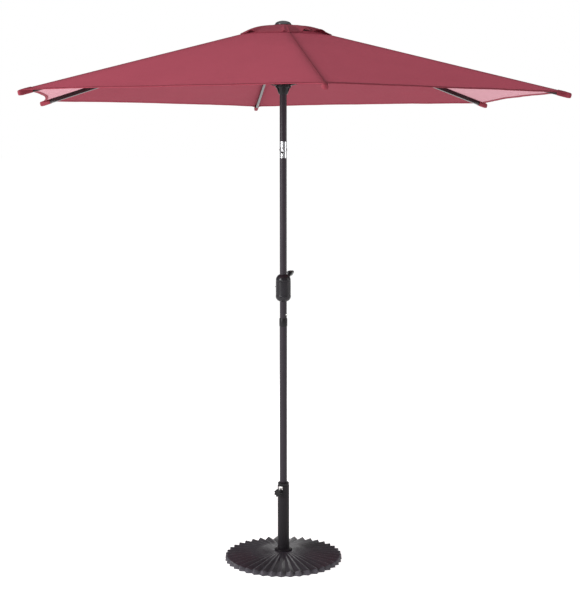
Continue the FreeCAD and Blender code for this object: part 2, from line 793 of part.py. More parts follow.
def runner():
    """The sliding runner, with slots for the struts that stay open downwards."""
    low = runner_level - runner_height_below
    high = runner_level + runner_height_above
    body = revolved(outline([
        (runner_bore, low),
        (runner_bore + runner_sleeve_wall, low),
        (runner_cone_radius, runner_level - 13),
        (runner_head_radius, runner_level - 9),
        (runner_head_radius, high - 3),
        (runner_head_radius - 3, high),
        (runner_bore, high),
    ]))
    half = strut_width / 2 + slot_side
    inner = hub_pivot_radius - strut_depth / 2 - 1.6
    slot = block(inner, runner_head_radius + 1, -half, half, low - 1, high + 1)
    pin_half = strut_pin_radius + sliding
    pin_reach = strut_width / 2 + 3.2
    groove = block(hub_pivot_radius - pin_half, hub_pivot_radius + pin_half, -pin_reach, pin_reach,
                   low - 1, runner_level + pin_half)
    for direction in rib_directions:
        body = body.cut(turned(slot, direction)).cut(turned(groove, direction))
    hole_at = turned(Part.Vertex(runner_bore + 7, 0, low), pulley_direction).Point
    cord_hole = Part.makeCylinder(cord_hole_radius, high - low + 2, hole_at - Vector(0, 0, 1))
    return body.cut(cord_hole)


# ---- ribs, struts and fabric ----

def on_rib(shape, direction):
    """A shape drawn with the rib level along +X from its pivot, put in place."""
    copy = shape.copy()
    copy.rotate(Vector(0, 0, 0), Vector(0, 1, 0), open_slope)
    copy.translate(Vector(hub_pivot_radius, 0, hub_pivot_level))
    return turned(copy, direction)


def rib_blank():
    """A hollow rib with a drilled lug at the hub end."""
    half = rib_width / 2
    lug_radius = rib_height / 2 - 0.5
    bar = block(lug_radius + 3, rib_end, -half, half, -rib_height / 2, rib_height / 2)
    long_edges = [edge for edge in bar.Edges if edge.Length > rib_length / 2]
    bar = bar.makeFillet(rib_corner, long_edges)
    lug = block(0, rib_lug_length, -half, half, -lug_radius, lug_radius)
    lug = lug.fuse(rod(lug_radius, Vector(0, -half, 0), Vector(0, half, 0)))
    inner_half = half - rib_wall
    inner_height = rib_height / 2 - rib_wall
    hollow = block(rib_lug_length, rib_end + 1, -inner_half, inner_half, -inner_height, inner_height)
    pivot = rod(hub_wire_radius + running, Vector(0, -rib_width, 0), Vector(0, rib_width, 0))
    return bar.fuse(lug).cut(hollow).cut(pivot)


def rib_fittings_blank():
    """The riveted strut clip with its pin, and the rib's plastic tip."""
    middle = strut_joint_distance
    inner = rib_width / 2 + snug
    outer = inner + clip_wall
    low = -strut_joint_offset - strut_pin_radius - 3
    high = rib_height / 2 - 3
    start = middle - clip_length / 2
    end = middle + clip_length / 2
    under = -rib_height / 2 - snug
    web = block(start, end, -outer, outer, under - clip_wall + 0.3, under)
    sides = [block(start, end, -outer, -inner, low, high), block(start, end, inner, outer, low, high)]
    pin = rod(strut_pin_radius, Vector(middle, -outer - 1, -strut_joint_offset),
              Vector(middle, outer + 1, -strut_joint_offset))
    clip = fused([web, pin] + sides)
    gap = rib_wall + 2 * snug
    half = rib_width / 2
    plug = block(rib_end - tip_plug_depth, rib_end + 1, -half + gap, half - gap,
                 -rib_height / 2 + gap, rib_height / 2 - gap)
    nose = block(rib_end + snug, rib_length, -half, half, -rib_height / 2, rib_height / 2)
    nose_edges = [edge for edge in nose.Edges if edge.CenterOfMass.x > rib_end + tip_cap_length / 2 - 1]
    nose = nose.makeFillet(rib_corner, nose_edges)
    return Part.makeCompound([clip, nose.fuse(plug)])


def strut(direction):
    """A channel strut from its rib clip to the runner, with its lower pin."""
    half = strut_width / 2
    radius = strut_depth / 2
    start = Vector(0, 0, 0)
    end = Vector(strut_length, 0, 0)
    side = Vector(0, half, 0)
    bar = block(0, strut_length, -half, half, -radius, radius)
    bar = fused([bar, rod(radius, start - side, start + side), rod(radius, end - side, end + side)])
    inner_half = half - strut_wall
    channel = block(strut_channel_end, strut_length - strut_channel_end, -inner_half, inner_half,
                    -radius + strut_wall, radius + 1)
    top_bore = rod(strut_pin_radius + running, start - side * 2, start + side * 2)
    low_bore = rod(strut_pin_radius + snug, end - side * 2, end + side * 2)
    reach = Vector(0, half + 2.5, 0)
    pin = rod(strut_pin_radius, end - reach, end + reach)
    shape = Part.makeCompound([bar.cut(channel).cut(top_bore).cut(low_bore), pin])
    shape.rotate(start, Vector(0, 1, 0), 180 - open_slope - joint_lead)
    joint_radius = hub_pivot_radius + strut_joint_distance * cos_open - strut_joint_offset * sin_open
    joint_level = hub_pivot_level - strut_joint_distance * sin_open - strut_joint_offset * cos_open
    shape.translate(Vector(joint_radius, 0, joint_level))
    return turned(shape, direction)


def hem_point(share):
    """A point on the hem seen from above: share 0 at the rib's tip, 1 at the panel's middle."""
    half_chord = canopy_radius * math.sin(math.radians(half_step))
    radius = (half_chord ** 2 + hem_sag ** 2) / (2 * hem_sag)
    centre = canopy_radius * cos_half - hem_sag + radius
    spread = math.asin(half_chord / radius) * (1 - share)
    along = centre - radius * math.cos(spread)
    side = -radius * math.sin(spread)
    middle = math.radians(half_step)
    x = along * math.cos(middle) - side * math.sin(middle)
    y = along * math.sin(middle) + side * math.cos(middle)
    return x, y


def canopy_underside(x, y):
    """The fabric's underside over a point beside a rib along +X."""
    lift = (rib_height / 2 + fabric_gap) / cos_open
    return hub_pivot_level + lift - (x + abs(y) * tan_half - hub_pivot_radius) * tan_open


def vent_underside(x, y):
    """The vent flap's underside over a point beside a rib along +X."""
    fall = math.tan(math.radians(vent_slope))
    return hub_top - (x + abs(y) * tan_half - cap_radius) * fall


def beside_seam(x, y):
    """A point on the panel's middle line, moved back towards the rib by the seam's half gap."""
    middle = math.radians(half_step)
    return x + seam_gap / 2 * math.sin(middle), y - seam_gap / 2 * math.cos(middle)


def half_panel(inner_radius, outer_radius, curved, underside):
    """Half of a kite-shaped panel, from the ridge over the rib to the panel's middle line."""
    middle = math.radians(half_step)
    inner = beside_seam(inner_radius * cos_half * math.cos(middle), inner_radius * cos_half * math.sin(middle))
    outer = (outer_radius * cos_half * math.cos(middle), outer_radius * cos_half * math.sin(middle))
    outer = beside_seam(*(hem_point(1.0) if curved else outer))
    flat = [(inner_radius, 0), (outer_radius, 0), outer, inner]
    corners = [Vector(x, y, underside(x, y)) for x, y in flat]
    if curved:
        x, y = hem_point(0.5)
        hem = Part.Arc(corners[1], Vector(x, y, underside(x, y)), corners[2]).toShape()
    else:
        hem = Part.makeLine(corners[1], corners[2])
    edges = [
        Part.makeLine(corners[0], corners[1]),
        hem,
        Part.makeLine(corners[2], corners[3]),
        Part.makeLine(corners[3], corners[0]),
    ]
    return Part.Face(Part.Wire(edges)).extrude(Vector(0, 0, fabric_thickness / cos_open))


def gore(direction):
    """The canopy panel and the vent panel that ride on one rib."""
    shapes = []
    for inner, outer, curved, underside in (
        (vent_opening_radius, canopy_radius, True, canopy_underside),
        ((cap_radius + 2 * apart) / cos_half, vent_radius, False, vent_underside),
    ):
        half = half_panel(inner, outer, curved, underside)
        other = half.mirror(Vector(0, 0, 0), Vector(0, 1, 0))
        shapes.append(half.fuse(other).removeSplitter())
    return turned(Part.makeCompound(shapes), direction)


keep("base_plate", base_plate())
keep("base_feet", Part.makeCompound(foot_pads(0, foot_recess)))
keep("base_bolt", base_bolt())
keep("stem_tube", stem_tube())
keep("stem_foot_ring", stem_foot_ring())
keep("stem_bush", stem_bush())
keep("label_plate", label_plate())
clamp_pieces()
pole_pieces()
keep("snap_button", snap_button())
housing_pieces()
keep("housing_screws", housing_screws())
crank_pieces()
tilt_pieces()
keep("top_pole", top_pole())
pulley_pieces()
keep("crown_hub", crown_hub())
keep("hub_wire", hub_wire(hub_wire_radius))
keep("finial", finial())
keep("canopy_cap", canopy_cap())
keep("runner", runner())
rib_shape = rib_blank()
fittings_shape = rib_fittings_blank()
for number, rib_direction in enumerate(rib_directions, start=1):
    keep("rib_%d" % number, on_rib(rib_shape, rib_direction))
    keep("rib_fittings_%d" % number, on_rib(fittings_shape, rib_direction))
    keep("strut_%d" % number, strut(rib_direction))
    keep("gore_%d" % number, gore(rib_direction))

os.makedirs("parts", exist_ok=True)
for name, shape in pieces.items():
    if not shape.isValid() or not shape.Solids:
        raise ValueError(name + " is not a valid solid")
    shape.exportStep("parts/" + name + ".step")
    print(name, len(shape.Solids), round(shape.Volume / 1000, 2))
print("runner level", round(runner_level, 3), "travel", round(runner_travel, 3))
print("tilt level", round(tilt_level, 3), "hub pivot", round(hub_pivot_level, 3))
print("nodes", len(pieces))
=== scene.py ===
import math

import bmesh
import bpy
from mathutils import Matrix, Vector, noise


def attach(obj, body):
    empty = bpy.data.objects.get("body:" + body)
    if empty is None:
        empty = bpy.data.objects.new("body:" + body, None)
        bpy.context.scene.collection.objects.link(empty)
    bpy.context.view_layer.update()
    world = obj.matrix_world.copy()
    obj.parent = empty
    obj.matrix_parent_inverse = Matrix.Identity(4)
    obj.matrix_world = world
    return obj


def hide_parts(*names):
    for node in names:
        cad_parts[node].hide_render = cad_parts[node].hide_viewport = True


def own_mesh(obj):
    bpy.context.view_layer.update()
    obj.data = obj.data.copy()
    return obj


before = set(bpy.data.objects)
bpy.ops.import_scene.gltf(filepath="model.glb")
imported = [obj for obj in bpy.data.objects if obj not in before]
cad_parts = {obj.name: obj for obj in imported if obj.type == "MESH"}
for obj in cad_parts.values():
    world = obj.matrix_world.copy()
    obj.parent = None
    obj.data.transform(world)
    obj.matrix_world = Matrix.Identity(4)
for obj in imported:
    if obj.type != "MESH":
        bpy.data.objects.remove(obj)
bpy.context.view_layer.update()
print("frame loaded:", len(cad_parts), "nodes")

# small helpers for shader trees


def feed(tree, made, inputs):
    for key, value in inputs.items():
        if isinstance(value, bpy.types.NodeSocket):
            tree.links.new(value, made.inputs[key])
        else:
            made.inputs[key].default_value = value


def addNode(tree, kind, inputs=None, **settings):
    made = tree.nodes.new("ShaderNode" + kind)
    for key, value in settings.items():
        setattr(made, key, value)
    feed(tree, made, inputs or {})
    return made


def calc(tree, operation, first, second=0.5):
    return addNode(tree, "Math", {0: first, 1: second}, operation=operation).outputs[0]


def newGroup(name, inputs, outputs):
    group = bpy.data.node_groups.new(name, "ShaderNodeTree")
    for label, kind, value in inputs:
        socket = group.interface.new_socket(name=label, in_out="INPUT",
                                            socket_type="NodeSocket" + kind)
        if value is not None:
            socket.default_value = value
    for label, kind in outputs:
        group.interface.new_socket(name=label, in_out="OUTPUT", socket_type="NodeSocket" + kind)
    start = group.nodes.new("NodeGroupInput").outputs
    end = group.nodes.new("NodeGroupOutput").inputs
    return group, start, end


def placeGroup(tree, group, inputs):
    made = tree.nodes.new("ShaderNodeGroup")
    made.node_tree = group
    feed(tree, made, inputs)
    return made.outputs


def softNoise(tree, vector, scale, detail, roughness=0.5):
    inputs = {"Vector": vector, "Scale": scale, "Detail": detail, "Roughness": roughness}
    return addNode(tree, "TexNoise", inputs).outputs["Fac"]


def remap(tree, value, fromLow, fromHigh, toLow, toHigh):
    inputs = {"Value": value, "From Min": fromLow, "From Max": fromHigh,
              "To Min": toLow, "To Max": toHigh}
    return addNode(tree, "MapRange", inputs).outputs["Result"]


def stretched(tree, vector, scale):
    return addNode(tree, "Mapping", {"Vector": vector, "Scale": scale}).outputs["Vector"]


# shared surface effects


def weaveGroup():
    # plain weave: threads over and under, with thicker slubs and a slow change of tone
    group, start, end = newGroup(
        "plainWeave",
        [("Vector", "Vector", None), ("Threads", "Float", 1500.0),
         ("Slub", "Float", 0.3), ("Mottle", "Float", 0.3)],
        [("Height", "Float"), ("Tone", "Float")],
    )
    axes = addNode(group, "SeparateXYZ", {"Vector": start["Vector"]}).outputs
    turns = calc(group, "MULTIPLY", start["Threads"], math.pi)
    warp = calc(group, "SINE", calc(group, "MULTIPLY", axes["X"], turns))
    weft = calc(group, "SINE", calc(group, "MULTIPLY", axes["Y"], turns))
    over = calc(group, "MULTIPLY", warp, weft)
    across, along = 900.0, 24.0  # slubs a metre, over a thread and down its length
    warpSlub = softNoise(group, stretched(group, start["Vector"], (across, along, 1.0)), 1.0, 1.0)
    weftSlub = softNoise(group, stretched(group, start["Vector"], (along, across, 1.0)), 1.0, 1.0)
    slub = calc(group, "MULTIPLY", calc(group, "ADD", warpSlub, weftSlub), start["Slub"])
    height = calc(group, "ADD", calc(group, "MULTIPLY", over, 0.5), slub)
    group.links.new(height, end["Height"])
    slow = softNoise(group, start["Vector"], 5.0, 4.0, 0.62)
    tone = calc(group, "MULTIPLY", calc(group, "SUBTRACT", slow, 0.5), start["Mottle"])
    thread = calc(group, "MULTIPLY", calc(group, "SUBTRACT", slub, start["Slub"]), 0.6)
    group.links.new(calc(group, "ADD", calc(group, "ADD", tone, thread), 0.5), end["Tone"])
    return group


def stitchGroup():
    # a row of stitches along U, at a distance across in V
    group, start, end = newGroup(
        "stitchRow",
        [("Vector", "Vector", None), ("Place", "Float", 0.004),
         ("Pitch", "Float", 0.0032), ("Width", "Float", 0.0006)],
        [("Mask", "Float")],
    )
    axes = addNode(group, "SeparateXYZ", {"Vector": start["Vector"]}).outputs
    away = calc(group, "ABSOLUTE", calc(group, "SUBTRACT", axes["Y"], start["Place"]))
    inRow = calc(group, "LESS_THAN", away, start["Width"])
    step = calc(group, "FRACT", calc(group, "DIVIDE", axes["X"], start["Pitch"]))
    inStitch = calc(group, "LESS_THAN", step, 0.72)  # the thread's share of each pitch
    group.links.new(calc(group, "MULTIPLY", inRow, inStitch), end["Mask"])
    return group


def skinGroup():
    # sprayed or moulded skin: fine pebbling, flecks and a slow change of gloss
    group, start, end = newGroup(
        "surfaceSkin",
        [("Vector", "Vector", None), ("Pebble", "Float", 900.0),
         ("Fleck", "Float", 2600.0), ("Drift", "Float", 9.0)],
        [("Height", "Float"), ("Tone", "Float"), ("Gloss", "Float")],
    )
    pebble = softNoise(group, start["Vector"], start["Pebble"], 2.0, 0.55)
    fleck = softNoise(group, start["Vector"], start["Fleck"], 1.0)
    drift = softNoise(group, start["Vector"], start["Drift"], 5.0, 0.6)
    flecks = calc(group, "MULTIPLY", fleck, 0.35)
    group.links.new(calc(group, "ADD", pebble, flecks), end["Height"])
    tone = calc(group, "ADD", flecks, calc(group, "MULTIPLY", drift, 0.65))
    group.links.new(tone, end["Tone"])
    group.links.new(drift, end["Gloss"])
    return group


def castGroup():
    # sand-cast skin: broad lumps, sand grain and a few pits
    group, start, end = newGroup(
        "castSkin",
        [("Vector", "Vector", None), ("Lump", "Float", 45.0),
         ("Sand", "Float", 520.0), ("Pits", "Float", 0.5)],
        [("Height", "Float"), ("Tone", "Float")],
    )
    lump = softNoise(group, start["Vector"], start["Lump"], 3.0, 0.6)
    sand = softNoise(group, start["Vector"], start["Sand"], 3.0, 0.7)
    spread = {"Vector": start["Vector"], "Scale": 260.0, "Randomness": 1.0}
    cells = addNode(group, "TexVoronoi", spread).outputs["Distance"]
    pit = calc(group, "MULTIPLY", calc(group, "LESS_THAN", cells, 0.12), start["Pits"])
    lumps = calc(group, "MULTIPLY", lump, 0.8)
    body = calc(group, "ADD", lumps, calc(group, "MULTIPLY", sand, 0.45))
    group.links.new(calc(group, "SUBTRACT", body, pit), end["Height"])
    pale = calc(group, "MULTIPLY", lump, 0.6)
    tone = calc(group, "ADD", pale, calc(group, "MULTIPLY", sand, 0.4))
    group.links.new(tone, end["Tone"])
    return group


def edgeWearAndHighlightGroup():
    # a mask on outside edges, broken up by noise, for paint rubbed thin there; on the cast base it also
    # carries a painted highlight along the crests
    group, start, end = newGroup(
        "edgeWearAndHighlight",
        [("Vector", "Vector", None), ("Reach", "Float", 0.08), ("Break", "Float", 60.0)],
        [("Mask", "Float")],
    )
    point = addNode(group, "NewGeometry").outputs["Pointiness"]
    edge = remap(group, point, 0.5, calc(group, "ADD", start["Reach"], 0.5), 0.0, 1.0)
    patches = softNoise(group, start["Vector"], start["Break"], 4.0, 0.65)
    broken = remap(group, patches, 0.35, 0.7, 0.25, 1.0)
    group.links.new(calc(group, "MULTIPLY", edge, broken), end["Mask"])
    return group


def dustGroup():
    # pale dust that settles on faces that look up
    group, start, end = newGroup(
        "settledDust",
        [("Vector", "Vector", None), ("Amount", "Float", 0.2), ("Patch", "Float", 14.0)],
        [("Mask", "Float")],
    )
    normal = addNode(group, "NewGeometry").outputs["Normal"]
    up = addNode(group, "SeparateXYZ", {"Vector": normal}).outputs["Z"]
    level = remap(group, up, 0.3, 1.0, 0.0, 1.0)
    patches = softNoise(group, start["Vector"], start["Patch"], 5.0, 0.65)
    patch = remap(group, patches, 0.3, 0.75, 0.2, 1.0)
    settled = calc(group, "MULTIPLY", calc(group, "MULTIPLY", level, patch), start["Amount"])
    group.links.new(settled, end["Mask"])
    return group


def brushGroup():
    # fine draw lines along Z, as on polished or drawn metal
    group, start, end = newGroup(
        "drawLines",
        [("Vector", "Vector", None), ("Across", "Float", 900.0), ("Along", "Float", 12.0)],
        [("Height", "Float"), ("Gloss", "Float")],
    )
    sizes = {"X": start["Across"], "Y": start["Across"], "Z": start["Along"]}
    scale = addNode(group, "CombineXYZ", sizes).outputs[0]
    scaled = addNode(group, "VectorMath", {0: start["Vector"], 1: scale}, operation="MULTIPLY")
    lines = softNoise(group, scaled.outputs["Vector"], 1.0, 3.0, 0.6)
    smear = softNoise(group, start["Vector"], 38.0, 3.0, 0.6)
    group.links.new(lines, end["Height"])
    half = calc(group, "MULTIPLY", lines, 0.5)
    gloss = calc(group, "ADD", half, calc(group, "MULTIPLY", smear, 0.5))
    group.links.new(gloss, end["Gloss"])
    return group


plainWeave, stitchRow, surfaceSkin = weaveGroup(), stitchGroup(), skinGroup()
castSkin, edgeWearAndHighlight, settledDust, drawLines = castGroup(), edgeWearAndHighlightGroup(), dustGroup(), brushGroup()

# materials


def newMaterial(name, roughness, **sockets):
    material = bpy.data.materials.new(name)
    material.use_nodes = True
    tree = material.node_tree
    shader = tree.nodes["Principled BSDF"]
    shader.inputs["Roughness"].default_value = roughness
    for key, value in sockets.items():
        shader.inputs[key.replace("_", " ")].default_value = value
    return material, tree, shader


def objectPlace(tree):
    return addNode(tree, "TexCoord").outputs["Object"]


def mixTone(tree, share, low, high):
    ramp = addNode(tree, "ValToRGB", {"Fac": share})
    ramp.color_ramp.elements[0].color = (*low, 1.0)
    ramp.color_ramp.elements[1].color = (*high, 1.0)
    return ramp.outputs["Color"]


def overlay(tree, share, under, over):
    inputs = {0: share, 6: under, 7: over}  # the Mix node's factor and its two colours
    return addNode(tree, "Mix", inputs, data_type="RGBA").outputs[2]


def spreadTone(tree, value, toLow=0.0, toHigh=1.0):
    # a noise's middle range drawn out to the whole of another
    return remap(tree, value, 0.3, 0.7, toLow, toHigh)


def bumpInto(tree, shader, height, strength, distance):
    bump = addNode(tree, "Bump", {"Height": height, "Strength": strength, "Distance": distance})
    tree.links.new(bump.outputs["Normal"], shader.inputs["Normal"])


def paintedMetal(name, low, high, roughness, gloss):
    material, tree, shader = newMaterial(name, roughness, Specular_IOR_Level=gloss)
    grain = {"Vector": objectPlace(tree), "Pebble": 900.0, "Fleck": 2600.0, "Drift": 9.0}
    skin = placeGroup(tree, surfaceSkin, grain)
    colour = mixTone(tree, spreadTone(tree, skin["Tone"]), low, high)
    tree.links.new(colour, shader.inputs["Base Color"])
    worn = spreadTone(tree, skin["Gloss"], roughness - 0.05, roughness + 0.07)
    tree.links.new(worn, shader.inputs["Roughness"])
    bumpInto(tree, shader, skin["Height"], 0.03, 0.0004)
    return material


def mouldedPlastic(name, low, high, roughness, grain=1400.0, bump=0.3, gloss=0.4):
    material, tree, shader = newMaterial(name, roughness, Specular_IOR_Level=gloss)
    place = objectPlace(tree)
    skin = placeGroup(tree, surfaceSkin,
                      {"Vector": place, "Pebble": grain, "Fleck": 3400.0, "Drift": 24.0})
    mask = placeGroup(tree, edgeWearAndHighlight, {"Vector": place, "Reach": 0.1, "Break": 120.0})["Mask"]
    colour = mixTone(tree, spreadTone(tree, skin["Tone"]), low, high)
    pale = tuple(min(1.0, 1.7 * part + 0.012) for part in high) + (1.0,)
    colour = overlay(tree, calc(tree, "MULTIPLY", mask, 0.6), colour, pale)
    tree.links.new(colour, shader.inputs["Base Color"])
    worn = spreadTone(tree, skin["Gloss"], roughness - 0.06, roughness + 0.08)
    tree.links.new(worn, shader.inputs["Roughness"])
    bumpInto(tree, shader, skin["Height"], bump, 0.0003)
    return material


def bareMetal(name, low, high, roughness, along=12.0, bump=0.12):
    material, tree, shader = newMaterial(name, roughness, Metallic=1.0)
    lines = placeGroup(tree, drawLines,
                       {"Vector": objectPlace(tree), "Across": 1400.0, "Along": along})
    colour = mixTone(tree, spreadTone(tree, lines["Gloss"]), low, high)
    tree.links.new(colour, shader.inputs["Base Color"])
    worn = spreadTone(tree, lines["Gloss"], roughness * 0.7, roughness * 1.4)
    tree.links.new(worn, shader.inputs["Roughness"])
    bumpInto(tree, shader, lines["Height"], bump, 0.0001)
    return material


castLook = {
    "low": (0.024, 0.021, 0.026),
    "high": (0.034, 0.030, 0.038),
    "roughness": (0.30, 0.36),
    "gloss": 0.4,
    "pits": 0.12,
    # share and tone of the paler crests: partly rubbed paint, partly a painted highlight
    "crestWearAndHighlight": 0.35,
    "crestWearAndHighlightTone": (0.16, 0.15, 0.18, 1.0),
    "dust": 0.03,
    "dustTone": (0.30, 0.28, 0.30, 1.0),
}


def castMetal(name):
    look = castLook
    material, tree, shader = newMaterial(name, look["roughness"][0], Specular_IOR_Level=look["gloss"])
    place = objectPlace(tree)
    skin = placeGroup(tree, castSkin,
                      {"Vector": place, "Lump": 45.0, "Sand": 520.0, "Pits": look["pits"]})
    toneShare = remap(tree, skin["Tone"], 0.35, 0.65, 0.0, 1.0)
    colour = mixTone(tree, toneShare, look["low"], look["high"])
    # paler outside edges and flute crests: partly paint rubbed thin, partly a painted highlight along the
    # crests
    edges = placeGroup(tree, edgeWearAndHighlight, {"Vector": place, "Reach": 0.05, "Break": 55.0})["Mask"]
    crestWearAndHighlight = calc(tree, "MULTIPLY", edges, look["crestWearAndHighlight"])
    colour = overlay(tree, crestWearAndHighlight, colour, look["crestWearAndHighlightTone"])
    dust = placeGroup(tree, settledDust, {"Vector": place, "Amount": look["dust"], "Patch": 18.0})
    colour = overlay(tree, dust["Mask"], colour, look["dustTone"])
    tree.links.new(colour, shader.inputs["Base Color"])
    worn = remap(tree, skin["Tone"], 0.35, 0.65, *look["roughness"])
    tree.links.new(worn, shader.inputs["Roughness"])
    bumpInto(tree, shader, skin["Height"], 0.03, 0.0003)
    return material


cloth = {
    "low": (0.205, 0.034, 0.052),
    "high": (0.270, 0.049, 0.072),
    "through": ((0.52, 0.085, 0.135), (0.62, 0.115, 0.170)),  # light that comes through it
    "share": 0.23,
    "stitchTone": (0.13, 0.022, 0.034, 1.0),
    "paintedSheen": 0.9,  # painted sheen: a pale tint on the cloth's underside where it is seen at a grazing angle, standing in for the bright backdrop's light
    "paintedSheenStart": 0.76,
    "paintedSheenFull": 0.84,
    "paintedSheenTone": (0.60, 0.34, 0.39, 1.0),
}


def canopyCloth(name, low, high, share, rows=(), paintedSheen=0.0):
    # light passes through the single cloth, less through a doubled one
    material, tree, shader = newMaterial(name, 0.82, Specular_IOR_Level=0.15)
    threads = addNode(tree, "UVMap", uv_map="cloth").outputs["UV"]
    weave = placeGroup(tree, plainWeave,
                       {"Vector": threads, "Threads": 1500.0, "Slub": 0.35, "Mottle": 0.55})
    colour = mixTone(tree, weave["Tone"], low, high)
    height = weave["Height"]
    for place in rows:
        row = {"Vector": threads, "Place": place, "Pitch": 0.0034, "Width": 0.00055}
        mask = placeGroup(tree, stitchRow, row)["Mask"]
        colour = overlay(tree, calc(tree, "MULTIPLY", mask, 0.65), colour, cloth["stitchTone"])
        height = calc(tree, "SUBTRACT", height, calc(tree, "MULTIPLY", mask, 2.0))
    # painted sheen: where the underside is seen at a grazing angle, its colour is drawn towards a pale
    # pink
    if paintedSheen:
        facing = addNode(tree, "LayerWeight", {"Blend": 0.5}).outputs["Facing"]
        along = remap(tree, facing, cloth["paintedSheenStart"], cloth["paintedSheenFull"], 0.0, paintedSheen)
        underSide = addNode(tree, "NewGeometry").outputs["Backfacing"]
        along = calc(tree, "MULTIPLY", along, underSide)
        colour = overlay(tree, along, colour, cloth["paintedSheenTone"])
    tree.links.new(colour, shader.inputs["Base Color"])
    tree.links.new(remap(tree, weave["Tone"], 0.2, 0.8, 0.74, 0.9), shader.inputs["Roughness"])
    bumpInto(tree, shader, height, 0.35, 0.00025)
    glow = addNode(tree, "BsdfTranslucent", {"Color": mixTone(tree, weave["Tone"], *cloth["through"])})
    both = addNode(tree, "MixShader", {0: share, 1: shader.outputs[0], 2: glow.outputs[0]})
    tree.links.new(both.outputs[0], tree.nodes["Material Output"].inputs["Surface"])
    return material


canopyFabric = canopyCloth("canopyFabric", cloth["low"], cloth["high"], cloth["share"],
                           paintedSheen=cloth["paintedSheen"])
ventFabric = canopyCloth("ventFabric", cloth["low"], cloth["high"], 0.05)
hemFabric = canopyCloth("hemFabric", (0.225, 0.032, 0.050), (0.285, 0.045, 0.068), 0.08,
                        rows=(0.003, 0.013))
pocketFabric = canopyCloth("pocketFabric", (0.19, 0.028, 0.043), (0.25, 0.039, 0.058), 0.05,
                           rows=(0.004, 0.012))

# dark tone, pale tone, roughness, gloss
polePaint = paintedMetal("polePaint", (0.025, 0.021, 0.026), (0.030, 0.025, 0.032), 0.33, 0.16)
stemPaint = paintedMetal("stemPaint", (0.011, 0.0095, 0.0115), (0.014, 0.012, 0.0148), 0.34, 0.14)
ribPaint = paintedMetal("ribPaint", (0.010, 0.009, 0.010), (0.016, 0.014, 0.017), 0.22, 0.7)
castBaseMetal = castMetal("castBaseMetal")

# dark tone, pale tone, roughness, draw lines' length, depth of the lines
tiltChrome = bareMetal("tiltChrome", (0.36, 0.36, 0.37), (0.56, 0.56, 0.58), 0.14)
zincSteel = bareMetal("zincSteel", (0.52, 0.52, 0.50), (0.68, 0.68, 0.66), 0.34, 40.0, 0.3)
darkScrew = bareMetal("darkScrew", (0.10, 0.10, 0.11), (0.20, 0.20, 0.21), 0.3, 60.0, 0.3)
brassPad = bareMetal("brassPad", (0.55, 0.40, 0.16), (0.70, 0.53, 0.25), 0.32, 60.0, 0.3)
blankLabel = bareMetal("blankLabel", (0.70, 0.69, 0.68), (0.82, 0.81, 0.80), 0.42, 30.0, 0.2)

# dark tone, pale tone, roughness, grain, depth of the grain, gloss
runnerPlastic = mouldedPlastic("runnerPlastic", (0.007, 0.0065, 0.008), (0.011, 0.010, 0.012), 0.34,
                               gloss=0.18)
housingPlastic = mouldedPlastic("housingPlastic", (0.012, 0.011, 0.0135), (0.017, 0.0155, 0.019), 0.34,
                                1100.0, 0.12, gloss=0.22)
finialPlastic = mouldedPlastic("finialPlastic", (0.022, 0.022, 0.025), (0.034, 0.034, 0.038), 0.24,
                               1600.0, 0.12, gloss=0.5)
knobPlastic = mouldedPlastic("knobPlastic", (0.006, 0.006, 0.007), (0.010, 0.0095, 0.011), 0.42,
                             1000.0, 0.2, gloss=0.2)
gripPlastic = mouldedPlastic("gripPlastic", (0.030, 0.034, 0.032), (0.045, 0.050, 0.047), 0.45,
                             1000.0, 0.5)
fittingPlastic = mouldedPlastic("fittingPlastic", (0.018, 0.017, 0.020), (0.030, 0.028, 0.033), 0.42)
feetRubber = mouldedPlastic("feetRubber", (0.016, 0.016, 0.016), (0.024, 0.024, 0.024), 0.78,
                            700.0, 0.6)
print("materials made:", len(bpy.data.materials))

# small helpers for meshes


def finishMesh(bm, name, body, material, slot, sharpAngle=32.0, replaced=()):
    mesh = bpy.data.meshes.new(name)
    bm.to_mesh(mesh)
    bm.free()
    mesh.polygons.foreach_set("use_smooth", [True] * len(mesh.polygons))
    mesh.set_sharp_from_angle(angle=math.radians(sharpAngle))
    mesh.materials.append(material)
    piece = bpy.data.objects.new(name, mesh)
    bpy.context.scene.collection.objects.link(piece)
    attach(piece, body)
    if replaced:
        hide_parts(*replaced)
    return piece


def bevelEdges(bm, edges, width, segments):
    bmesh.ops.bevel(bm, geom=edges, offset=width, offset_type="OFFSET", segments=segments,
                    profile=0.5, affect="EDGES", clamp_overlap=True, material=-1)


def softCopy(node, name, body, material, slot, width):
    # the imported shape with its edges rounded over
    bm = bmesh.new()
    bm.from_mesh(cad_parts[node].data)
    bmesh.ops.remove_doubles(bm, verts=bm.verts, dist=0.000002)
    bmesh.ops.dissolve_limit(bm, angle_limit=math.radians(0.8), verts=bm.verts, edges=bm.edges)
    limit = math.radians(35.0)
    sharp = [e for e in bm.edges if e.is_manifold and e.calc_face_angle() > limit]
    bevelEdges(bm, sharp, width, 2)
    return finishMesh(bm, name, body, material, slot, replaced=(node,))


def shapedGrid(columns, rows, place, measure):
    # a grid whose x and y run from -1 to 1, laid by place, with cloth metres from measure
    bm = bmesh.new()
    bmesh.ops.create_grid(bm, x_segments=columns, y_segments=rows, size=1.0)
    layer = bm.loops.layers.uv.new("cloth")
    for face in bm.faces:
        for loop in face.loops:
            loop[layer].uv = measure(loop.vert.co.x, loop.vert.co.y)
    for vert in bm.verts:
        vert.co = place(vert.co.x, vert.co.y)
    return bm


def extrudeRow(bm, edges):
    # the new vertices and the edges between them
    made = bmesh.ops.extrude_edge_only(bm, edges=edges)["geom"]
    verts = [g for g in made if isinstance(g, bmesh.types.BMVert)]
    lines = [g for g in made if isinstance(g, bmesh.types.BMEdge)]
    return verts, [e for e in lines if e.verts[0] in verts and e.verts[1] in verts]


